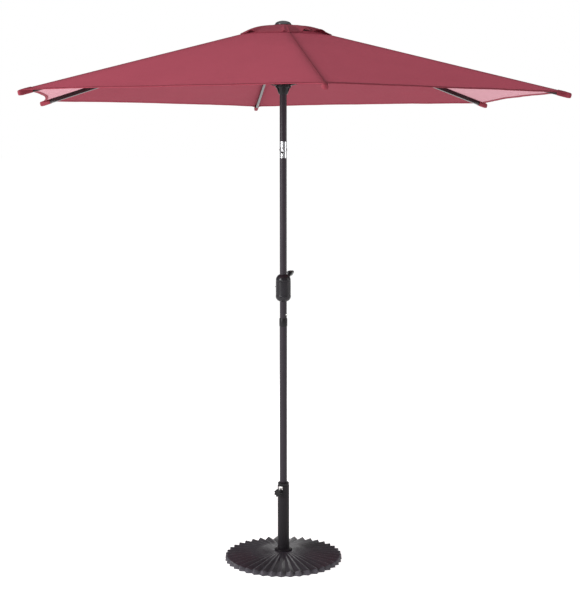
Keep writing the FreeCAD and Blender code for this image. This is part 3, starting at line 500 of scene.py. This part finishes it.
def loftRings(bm, matrices, segments, square):
    # extrudes one ring through each matrix in turn, drawn some way out to a square
    ring = bmesh.ops.create_circle(bm, segments=segments, radius=1.0)["verts"]
    for vert in ring:
        reach = max(abs(vert.co.x), abs(vert.co.y))
        vert.co *= 1.0 + square * (1.0 / reach - 1.0)
    bmesh.ops.transform(bm, matrix=matrices[0], verts=ring)
    edges = list({e for v in ring for e in v.link_edges})
    for before, after in zip(matrices, matrices[1:]):
        ring, edges = extrudeRow(bm, edges)
        bmesh.ops.transform(bm, matrix=after @ before.inverted(), verts=ring)
    return bm


def spinProfile(points, steps):
    # a closed profile of (radius, height) turned about the upright axis
    bm = bmesh.new()
    verts = [bm.verts.new((radius, 0.0, height)) for radius, height in points]
    edges = [bm.edges.new((a, b)) for a, b in zip(verts, verts[1:])]
    if points[0][0] > 0.0 and points[-1][0] > 0.0:
        edges.append(bm.edges.new((verts[-1], verts[0])))
    bmesh.ops.spin(bm, geom=verts + edges, cent=(0, 0, 0), axis=(0, 0, 1), dvec=(0, 0, 0),
                   angle=2 * math.pi, steps=steps, use_merge=True)
    bmesh.ops.remove_doubles(bm, verts=bm.verts, dist=0.000005)
    bmesh.ops.recalc_face_normals(bm, faces=bm.faces)
    return bm


# canopy

canopy = {
    "ribs": 6,
    "firstRib": -90.0,
    "slope": 14.3,
    "pivotRadius": 0.028,
    "pivotLevel": 2.369,
    "ridgeLift": 0.0109,  # cloth over the rib's centre line
    "tipRadius": 1.244,
    "ventOpening": 0.150,
    "fingerLength": 0.010,  # how far a tip pocket stands out from the hem
    "fingerSide": (0.0085, 0.024),  # where the pocket's side runs back to the hem
    "hemDrop": 0.045,  # further curve of the hem between two pockets
    "panelSag": 0.0085,
    "sagFullAt": 0.75,  # share of the tip's radius
    "slack": 0.0016,
    "slackScale": (5.5, 17.0),  # broad and fine waves
    "rowCrowding": 1.7,  # more rows of faces beside the rib
    "closedWidth": 0.05,
}
halfPanel = math.radians(180.0 / canopy["ribs"])
tanSlope = math.tan(math.radians(canopy["slope"]))
cosSlope = math.cos(math.radians(canopy["slope"]))


def smoothStep(value, low, high):
    share = min(1.0, max(0.0, (value - low) / (high - low)))
    return share * share * (3.0 - 2.0 * share)


def ribAngle(number):
    return math.radians(canopy["firstRib"] + (number - 1) * 360.0 / canopy["ribs"])


def onPanel(reach, share):
    # a point as far along the rib as reach, a share of the way to the panel's middle line
    across = reach * share * math.cos(halfPanel) * math.sin(halfPanel)
    along = reach - abs(across) * math.tan(halfPanel)
    return along, across


def panelLevel(reach):
    drop = (reach - canopy["pivotRadius"]) * tanSlope
    return canopy["pivotLevel"] + canopy["ridgeLift"] / cosSlope - drop


def hemReach(share):
    side = abs(share)
    across = abs(onPanel(canopy["tipRadius"], side)[1])
    finger = canopy["fingerLength"] * smoothStep(across, *canopy["fingerSide"])
    return canopy["tipRadius"] - finger - canopy["hemDrop"] * (2.0 * side - side * side)


def clothPoint(reach, share, turn):
    along, across = onPanel(reach, share)
    spread = smoothStep(reach, canopy["ventOpening"], canopy["sagFullAt"] * canopy["tipRadius"])
    side = abs(share)
    sag = canopy["panelSag"] * spread * (2.0 * side - side * side)
    place = Matrix.Rotation(turn, 3, "Z") @ Vector((along, across, panelLevel(reach) - sag))
    broad, small = canopy["slackScale"]
    drift = noise.noise(Vector((place.x * broad, place.y * broad, 0.3)))
    fine = noise.noise(Vector((place.x * small, place.y * small, 4.1)))
    place.z += canopy["slack"] * smoothStep(side, 0.0, 0.25) * (drift + 0.35 * fine)
    return place


def unevenShare(value):
    return math.copysign(abs(value) ** canopy["rowCrowding"], value)


def clothPiece(name, number, bm, material, replaced=()):
    return finishMesh(bm, name, "rib_%d" % number, material, "canopy_fabric", 60.0, replaced)


def closedBand(name, number, columns, place, measure):
    # a narrow band rolled up from its grid, with its two ends closed
    bm = shapedGrid(columns, 12, place, measure)
    bmesh.ops.remove_doubles(bm, verts=bm.verts, dist=0.000001)
    bmesh.ops.holes_fill(bm, edges=[e for e in bm.edges if e.is_boundary], sides=0)
    bmesh.ops.recalc_face_normals(bm, faces=bm.faces)
    return clothPiece(name, number, bm, hemFabric)


def flatFold(angle):
    # height round a pressed fold: flat above and below, round at its edges
    return max(-1.0, min(1.0, 2.2 * math.sin(angle)))


def foldAway(piece):
    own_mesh(piece)


def mainPanel(number):
    turn = ribAngle(number)
    start = canopy["ventOpening"]

    def reachOf(x, share):
        return start + (hemReach(share) - start) * (x + 1.0) / 2.0

    def place(x, y):
        share = unevenShare(y)
        return clothPoint(reachOf(x, share), share, turn)

    def measure(x, y):
        share = unevenShare(y)
        along, across = onPanel(reachOf(x, share), share)
        return along / cosSlope, across + number * 1.3

    bm = shapedGrid(64, 72, place, measure)
    return clothPiece("canopyPanel%d" % number, number, bm, canopyFabric, ("gore_%d" % number,))


hem = {
    "width": 0.016,
    "thick": 0.0016,
    "start": 0.016,  # share of the half panel, beside the tip's pocket
    "past": 0.0006,  # beyond the cloth's edge
}


def hemBand(number, side):
    # the hem, folded over once: a flat band round the cloth's edge
    turn = ribAngle(number)
    width = hem["width"]

    def place(x, y):
        share = side * (hem["start"] + (1.0 - hem["start"]) * (x + 1.0) / 2.0)
        angle = math.pi * y
        reach = hemReach(share) - width / 2.0 + width / 2.0 * math.cos(angle) + hem["past"]
        point = clothPoint(reach, share, turn)
        point.z += hem["thick"] * flatFold(angle)
        return point

    def measure(x, y):
        length = (x + 1.0) / 2.0 * canopy["tipRadius"] / 2.0
        return length, width / 2.0 - width / 2.0 * math.cos(math.pi * y)

    label = "Right" if side > 0 else "Left"
    return closedBand("hem%s%d" % (label, number), number, 72, place, measure)


def ridgeSeam(number, start, end, name, level, half=0.0026, rise=0.0007):
    # the felled seam over the rib
    spin = Matrix.Rotation(ribAngle(number), 3, "Z")

    def place(x, y):
        along = start + (end - start) * (x + 1.0) / 2.0
        angle = math.pi * y
        across = half * math.cos(angle)
        lift = rise * math.sin(angle)
        fall = abs(across) * math.tan(halfPanel) * tanSlope * 0.8
        return spin @ Vector((along, across, level(along) - fall + lift))

    def measure(x, y):
        return (x + 1.0) / 2.0 * (end - start), 0.0065 + 0.0018 * math.cos(math.pi * y)

    return closedBand("%s%d" % (name, number), number, 60, place, measure)


def alongRib(number, along, below, halfWidth, halfHeight):
    # a ring across the rib: its plane is square to the rib
    turn = Matrix.Rotation(ribAngle(number), 4, "Z")
    level = canopy["pivotLevel"] - (along - canopy["pivotRadius"]) * tanSlope
    slope = Matrix.Rotation(math.radians(canopy["slope"]), 4, "Y")
    stand = Matrix(((0, 0, 1, 0), (1, 0, 0, 0), (0, 1, 0, 0), (0, 0, 0, 1)))
    size = Matrix.Diagonal((halfWidth, halfHeight, 1.0, 1.0))
    centre = turn @ Matrix.Translation((along, 0, level)) @ slope @ Matrix.Translation((0, 0, -below))
    return centre @ stand @ size


pocket = {
    "rings": [  # metres before the tip, half width, half height, centre below the rib's line
        (0.050, 0.0094, 0.0112, -0.0014),
        (0.048, 0.0100, 0.0118, -0.0014),
        (0.036, 0.0097, 0.0116, -0.0013),
        (0.022, 0.0095, 0.0114, -0.0012),
        (0.010, 0.0096, 0.0114, -0.0011),
        (0.000, 0.0094, 0.0110, -0.0010),
        (-0.0035, 0.0080, 0.0092, -0.0008),
        (-0.0055, 0.0042, 0.0050, -0.0006),
    ],
    "wall": 0.0011,
    "square": 0.6,
    "wrinkles": (420.0, 0.00045),  # radians a metre along the pocket, height
    "crumple": (140.0, 0.0005),
}


def tipPocket(number):
    # the sewn pocket that holds the rib's end
    bm = bmesh.new()
    tip = canopy["tipRadius"]
    matrices = [alongRib(number, tip - before, below, width, height)
                for before, width, height, below in pocket["rings"]]
    loftRings(bm, matrices, 28, pocket["square"])
    openEdges = [e for e in bm.edges if e.is_boundary]
    middle = tip - pocket["rings"][0][0] / 2.0
    outer = [e for e in openEdges if min(v.co.xy.length for v in e.verts) > middle]
    bmesh.ops.holes_fill(bm, edges=outer, sides=0)
    bmesh.ops.recalc_face_normals(bm, faces=bm.faces)
    layer = bm.loops.layers.uv.new("cloth")
    axis = Vector((math.cos(ribAngle(number)), math.sin(ribAngle(number)), 0.0))
    turns, deep = pocket["wrinkles"]
    small, rough = pocket["crumple"]
    for vert in bm.verts:  # pinched wrinkles where the seam pulls
        along = tip - vert.co.dot(axis)
        pull = math.sin(along * turns) * deep + noise.noise(vert.co * small) * rough
        vert.co.z += pull
    for face in bm.faces:
        for loop in face.loops:
            along = tip - loop.vert.co.dot(axis)
            loop[layer].uv = (loop.vert.co.z * 1.2, along + 0.003)
    bmesh.ops.solidify(bm, geom=bm.faces[:], thickness=pocket["wall"])
    bmesh.ops.recalc_face_normals(bm, faces=bm.faces)
    return finishMesh(bm, "tipPocket%d" % number, "rib_%d" % number, pocketFabric,
                      "canopy_fabric", 50.0)


vent = {
    "innerReach": 0.0475,
    "cornerReach": 0.226,
    "startLevel": 2.3806,
    "hemGap": 0.0026,  # over the panel where the flap is sewn down or lies on it
    "hemDrop": 0.010,
    "hemWidth": 0.009,
    "hemThick": 0.0011,
    "leastGap": 0.0016,  # between the flap and the panel under it
    "bulge": 0.0105,
    "lifts": [  # direction, rise, half width: where the wind gap stands open
        (221.0, 0.015, 4.5), (265.0, 0.008, 2.6), (291.0, 0.010, 3.5), (297.0, 0.020, 5.0),
        (308.0, 0.018, 7.0), (319.0, 0.016, 6.0), (20.0, 0.006, 7.0), (47.0, 0.005, 6.0),
        (76.0, 0.008, 7.0), (108.0, 0.006, 6.0), (160.0, 0.006, 6.0),
    ],
}


def hemLift(direction):
    total = 0.0
    for centre, rise, width in vent["lifts"]:
        away = (direction - centre + 180.0) % 360.0 - 180.0
        total += rise * math.exp(-(away / width) ** 2)
    return total


def ventPoint(x, share, turn):
    inner, outer = vent["innerReach"], vent["cornerReach"]
    side = abs(share)
    edge = outer - vent["hemDrop"] * (2.0 * side - side * side)
    part = (x + 1.0) / 2.0
    reach = inner + (edge - inner) * part
    along, across = onPanel(reach, share)
    hemLevel = panelLevel(edge) + vent["hemGap"]
    level = vent["startLevel"] + (hemLevel - vent["startLevel"]) * part
    level += vent["bulge"] * math.sin(math.pi * part ** 1.15)
    direction = math.degrees(turn + math.atan2(across, along))
    level += hemLift(direction) * part ** 2.2 * smoothStep(side, 0.0, 0.22)
    level = max(level, panelLevel(reach) + vent["leastGap"])
    return Matrix.Rotation(turn, 3, "Z") @ Vector((along, across, level))


def ventPanel(number):
    turn = ribAngle(number)

    def place(x, y):
        return ventPoint(x, y, turn)

    def measure(x, y):
        along, across = onPanel(0.05 + 0.16 * (x + 1.0) / 2.0, y)
        return along, across + number * 0.7

    return clothPiece("ventPanel%d" % number, number, shapedGrid(30, 60, place, measure), ventFabric)


def ventHem(number):
    # the flap's narrow rolled hem
    turn = ribAngle(number)
    width = vent["hemWidth"]
    length = vent["cornerReach"] - vent["innerReach"]

    def place(x, y):
        angle = math.pi * y
        inward = width / 2.0 - width / 2.0 * math.cos(angle)
        point = ventPoint(1.0 - 2.0 * inward / length, x, turn)
        point.z += vent["hemThick"] * flatFold(angle)
        return point

    def measure(x, y):
        return (x + 1.0) * 0.09, 0.008 + 0.005 * math.cos(math.pi * y)

    return closedBand("ventHem%d" % number, number, 60, place, measure)


def ventLevel(along):
    share = (along - vent["innerReach"]) / (vent["cornerReach"] - vent["innerReach"])
    return ventPoint(2.0 * share - 1.0, 0.0, 0.0).z


for number in range(1, canopy["ribs"] + 1):
    panel = mainPanel(number)
    seamStart, seamEnd = canopy["ventOpening"] + 0.002, canopy["tipRadius"] - 0.045
    trims = [hemBand(number, 1), hemBand(number, -1), tipPocket(number)]
    trims.append(ridgeSeam(number, seamStart, seamEnd, "ridgeSeam", panelLevel))
    flap = ventPanel(number)
    seamStart, seamEnd = 0.062, vent["cornerReach"] - 0.003
    flapTrims = [ventHem(number)]
    flapTrims.append(ridgeSeam(number, seamStart, seamEnd, "ventSeam", ventLevel, 0.0022, 0.0005))
    for piece in [panel, flap] + trims[:2] + flapTrims[:1]:
        foldAway(piece)
print("canopy sewn")


patch = {
    "profile": [  # radius, height
        (0.006, 2.3812), (0.020, 2.3813), (0.036, 2.3812), (0.046, 2.3806), (0.056, 2.3791),
        (0.0575, 2.3786), (0.0570, 2.3780), (0.046, 2.3796), (0.036, 2.3803), (0.006, 2.3803),
    ],
    "wave": 0.0007,
    "waveFrom": 0.036,
    "waveFull": 0.056,
}


def canopyCap():
    # the round patch of cloth clamped under the finial
    bm = spinProfile(patch["profile"], 72)
    for vert in bm.verts:
        direction = math.atan2(vert.co.y, vert.co.x)
        outward = smoothStep(vert.co.xy.length, patch["waveFrom"], patch["waveFull"])
        vert.co.z += patch["wave"] * math.sin(canopy["ribs"] * direction + 1.0) * outward
    layer = bm.loops.layers.uv.new("cloth")
    for face in bm.faces:
        for loop in face.loops:
            loop[layer].uv = loop.vert.co.xy
    return finishMesh(bm, "canopyCap", "top", ventFabric, "canopy_fabric", 60.0, ("canopy_cap",))


topPatch = canopyCap()

# finial

finial = {
    "radius": 0.037,
    "bottom": 2.3817,
    "top": 2.4,
    "rim": 0.0030,
    "domeShare": 0.95,
    "domeAngles": (4, 14, 26, 38, 50, 62, 74, 84),
}


def finialPiece():
    radius, bottom, top = finial["radius"], finial["bottom"], finial["top"]
    rimTop = bottom + finial["rim"]
    points = [(0.0, bottom), (radius - 0.0012, bottom), (radius, bottom + 0.0010),
              (radius, rimTop - 0.0008), (radius - 0.0010, rimTop)]
    for angle in map(math.radians, finial["domeAngles"]):
        across = radius * math.cos(angle) * finial["domeShare"]
        points.append((across, rimTop + (top - rimTop) * math.sin(angle)))
    bm = spinProfile(points + [(0.0, top)], 72)
    return finishMesh(bm, "finialDome", "top", finialPlastic, "finial_plastic", 40.0, ("finial",))


finialPiece()
print("top made")

# cast base

castBase = {
    "flutes": 40,
    "crest": [  # radius, height
        (0.0066, 0.045), (0.030, 0.045), (0.0450, 0.0450), (0.100, 0.0407),
        (0.155, 0.0364), (0.210, 0.0321), (0.2620, 0.0280), (0.2650, 0.0022),
    ],
    "valley": [
        (0.0066, 0.045), (0.030, 0.045), (0.0442, 0.0447), (0.096, 0.0379),
        (0.147, 0.0312), (0.198, 0.0246), (0.2480, 0.0180), (0.2510, 0.0022),
    ],
    "under": [
        (0.228, 0.0022), (0.228, 0.012), (0.0495, 0.037), (0.028, 0.037), (0.028, 0.020), (0.0066, 0.020),
    ],
    "hubEdge": 2,  # the crest's point where the flutes begin
    "rimEdge": 6,
    "round": 0.0013,
}


def fluteWedge():
    # one flute from the bolt hole over the rim and back underneath
    step = math.pi / castBase["flutes"]
    rows = [(crest, valley) for crest, valley in zip(castBase["crest"], castBase["valley"])]
    rows += [(point, point) for point in castBase["under"]] + [rows[0]]
    bm = bmesh.new()
    line = []
    for angle, use in ((-step, 1), (0.0, 0), (step, 1)):
        radius, height = rows[0][use]
        line.append(bm.verts.new((radius * math.cos(angle), radius * math.sin(angle), height)))
    edges = [bm.edges.new((line[0], line[1])), bm.edges.new((line[1], line[2]))]
    crestVerts = [line[1]]
    for crest, valley in rows[1:]:
        verts, edges = extrudeRow(bm, edges)
        for vert in verts:
            angle = math.atan2(vert.co.y, vert.co.x)
            radius, height = crest if abs(angle) < step / 2 else valley
            vert.co = (radius * math.cos(angle), radius * math.sin(angle), height)
            if abs(angle) < step / 2:
                crestVerts.append(vert)
    soft = set(crestVerts[castBase["hubEdge"]:len(castBase["crest"])])
    chain = [e for e in bm.edges if e.verts[0] in soft and e.verts[1] in soft]
    rim = [e for e in crestVerts[castBase["rimEdge"]].link_edges if e not in chain]
    bevelEdges(bm, chain + rim, castBase["round"], 3)
    return bm


def castPlate():
    bm = fluteWedge()
    count = castBase["flutes"]
    wedge = bm.verts[:] + bm.edges[:] + bm.faces[:]
    bmesh.ops.spin(bm, geom=wedge, cent=(0, 0, 0), axis=(0, 0, 1), dvec=(0, 0, 0),
                   angle=2 * math.pi * (count - 1) / count, steps=count - 1,
                   use_merge=False, use_duplicate=True)
    bmesh.ops.remove_doubles(bm, verts=bm.verts, dist=0.00002)
    bmesh.ops.recalc_face_normals(bm, faces=bm.faces)
    return finishMesh(bm, "castPlate", "stand", castBaseMetal, "cast_base", 40.0, ("base_plate",))


castPlate()
print("base cast")

# hard pieces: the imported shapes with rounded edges

rounded = [  # node, new name, body, material, slot, edge radius
    ("stem_foot_ring", "stemFootRing", "stand", stemPaint, "stem_paint", 0.0007),
    ("stem_bush", "stemBush", "stem_bush", runnerPlastic, "black_plastic", 0.0006),
    ("pole_collar", "poleCollar", "pole", runnerPlastic, "black_plastic", 0.0005),
    ("clamp_knob", "clampKnob", "clamp_knob", knobPlastic, "knob_plastic", 0.0008),
    ("crank_arm", "crankArm", "crank", housingPlastic, "housing_plastic", 0.0008),
    ("crank_grip", "crankGrip", "crank_grip", gripPlastic, "grip_plastic", 0.0009),
    ("runner", "runnerSleeve", "runner", runnerPlastic, "black_plastic", 0.0006),
    ("crown_hub", "crownHub", "top", runnerPlastic, "black_plastic", 0.0006),
    ("label_plate", "labelPlate", "stand", blankLabel, "blank_label", 0.0002),
]
for node, name, body, material, slot, width in rounded:
    piece = softCopy(node, name, body, material, slot, width)
    print(name, len(piece.data.polygons), "faces")

# carried-over parts

carried = {
    "base_feet": feetRubber, "base_bolt": zincSteel, "stem_tube": stemPaint,
    "lower_pole": polePaint, "pole_foot_plug": fittingPlastic, "pole_spigot": zincSteel,
    "mid_pole": polePaint, "high_pole": polePaint, "housing_front": housingPlastic,
    "housing_rear": housingPlastic, "tilt_lower_knuckle": tiltChrome,
    "tilt_upper_knuckle": tiltChrome, "housing_screws": darkScrew, "tilt_pin": tiltChrome,
    "clamp_pad": brassPad, "clamp_screw": zincSteel, "snap_button": zincSteel,
    "tilt_button": runnerPlastic, "crank_spool": fittingPlastic, "crank_shaft": zincSteel,
    "top_pole": polePaint, "pulley_pin": zincSteel, "hub_wire": zincSteel, "pulley": fittingPlastic,
}
for number in range(1, canopy["ribs"] + 1):
    carried["rib_%d" % number] = ribPaint
    carried["strut_%d" % number] = ribPaint
    carried["rib_fittings_%d" % number] = fittingPlastic
for node, material in carried.items():
    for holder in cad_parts[node].material_slots:
        holder.material = material
print("finishes placed on", len(carried), "nodes")

# floor, light and camera

stage = {
    "floor": (0.90, 0.90, 0.895),
    "floorSize": 250.0,
    "floorGlow": 0.83,  # the floor is lit from below, like a light table
    "skyForCamera": 1.0,
    "skyForLight": 0.20,
    "boxes": [  # name, place, aimed at, width, height, watts, seen by the camera
        ("keyBox", (-5.0, -3.0, 2.9), (0, 0, 1.9), 1.6, 2.4, 360.0, True),
        ("fillBox", (4.6, -1.2, 2.4), (0, 0, 1.9), 1.0, 3.0, 60.0, True),
        ("topBox", (0.0, 0.0, 5.2), (0, 0, 2.2), 4.0, 4.0, 50.0, True),
        ("backBox", (0.9, 4.4, 1.6), (0, 0, 0.0), 2.6, 1.0, 14.0, False),
    ],
}


def paleFloor():
    bm = bmesh.new()
    bmesh.ops.create_grid(bm, x_segments=2, y_segments=2, size=stage["floorSize"])
    mesh = bpy.data.meshes.new("paleFloor")
    bm.to_mesh(mesh)
    bm.free()
    material, _, shader = newMaterial("paleFloorPaint", 0.9, Specular_IOR_Level=0.1)
    shader.inputs["Base Color"].default_value = (*stage["floor"], 1.0)
    shader.inputs["Emission Color"].default_value = (1.0, 1.0, 1.0, 1.0)
    shader.inputs["Emission Strength"].default_value = stage["floorGlow"]
    mesh.materials.append(material)
    floor = bpy.data.objects.new("paleFloor", mesh)
    bpy.context.scene.collection.objects.link(floor)


def softBox(name, place, aim, width, height, power, seen):
    light = bpy.data.lights.new(name, "AREA")
    light.shape = "RECTANGLE"
    light.size, light.size_y = width, height
    light.energy = power
    lamp = bpy.data.objects.new(name, light)
    bpy.context.scene.collection.objects.link(lamp)
    lamp.location = place
    lamp.rotation_euler = (Vector(aim) - Vector(place)).to_track_quat("-Z", "Y").to_euler()
    lamp.visible_camera = seen


def paleSky():
    world = bpy.data.worlds.new("paleSky")
    bpy.context.scene.world = world
    world.use_nodes = True
    tree = world.node_tree
    ray = addNode(tree, "LightPath").outputs["Is Camera Ray"]
    strength = remap(tree, ray, 0.0, 1.0, stage["skyForLight"], stage["skyForCamera"])
    back = tree.nodes["Background"]
    back.inputs["Color"].default_value = (1.0, 1.0, 1.0, 1.0)
    tree.links.new(strength, back.inputs["Strength"])


paleFloor()
paleSky()
for box in stage["boxes"]:
    softBox(*box)

camera = {
    "azimuth": -6.67,  # degrees round the umbrella
    "distance": 5.7096,
    "height": 1.848,
    "pitch": 6.64,  # degrees down
    "yaw": 0.0052,  # radians to one side
    "lens": 77.748,  # millimetres
    "sensor": 36.0,
    "clip": (0.1, 600.0),
}


def addCamera():
    data = bpy.data.cameras.new("viewCamera")
    data.sensor_width = camera["sensor"]
    data.lens = camera["lens"]
    data.clip_start, data.clip_end = camera["clip"]
    holder = bpy.data.objects.new("viewCamera", data)
    bpy.context.scene.collection.objects.link(holder)
    turn, distance = math.radians(camera["azimuth"]), camera["distance"]
    holder.location = (math.sin(turn) * distance, -math.cos(turn) * distance, camera["height"])
    holder.rotation_euler = (math.radians(90.0 - camera["pitch"]), 0.0, turn - camera["yaw"])
    bpy.context.scene.camera = holder


addCamera()
bpy.context.scene.view_settings.view_transform = "Standard"
print("stage set")
